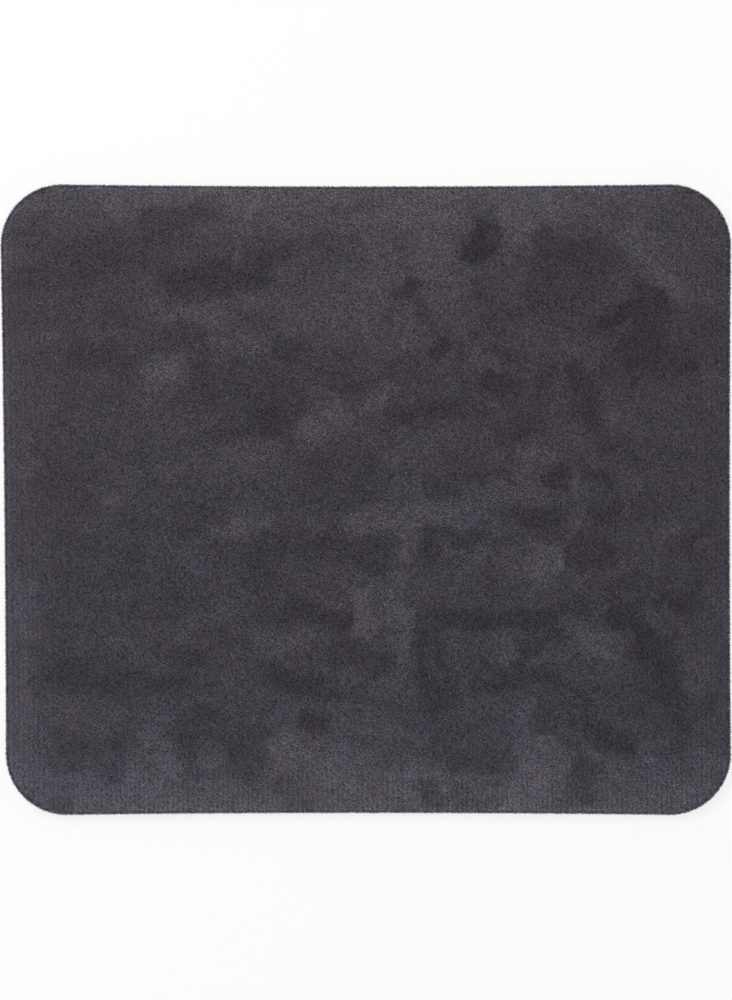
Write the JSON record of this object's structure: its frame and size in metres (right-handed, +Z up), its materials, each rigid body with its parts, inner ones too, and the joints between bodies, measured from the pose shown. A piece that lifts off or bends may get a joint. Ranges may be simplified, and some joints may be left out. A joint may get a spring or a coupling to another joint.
{
  "type": "mouse pad",
  "caption": "Flat rounded-rectangle mouse pad with a napped charcoal cloth face bonded to a foam-rubber base with a grooved non-slip underside.",
  "frame": {"origin": "middle of the underside, where the pad lies on the desk", "axes": "+X along the long side to the user's right, +Y towards the rear, +Z up out of the napped face"},
  "size_m": [0.22, 0.19, 0.0045],
  "materials": {
    "foam_rubber": "matt closed-cell foam rubber",
    "bond_film": "satin hot-melt film",
    "ground_cloth": "tight knit",
    "pile_cloth": "brushed cut pile"
  },
  "bodies": {
    "root": {"rubber_base": "foam_rubber", "bond_film": "bond_film", "knit_ground": "ground_cloth", "pile": "pile_cloth"}
  },
  "joints": []
}
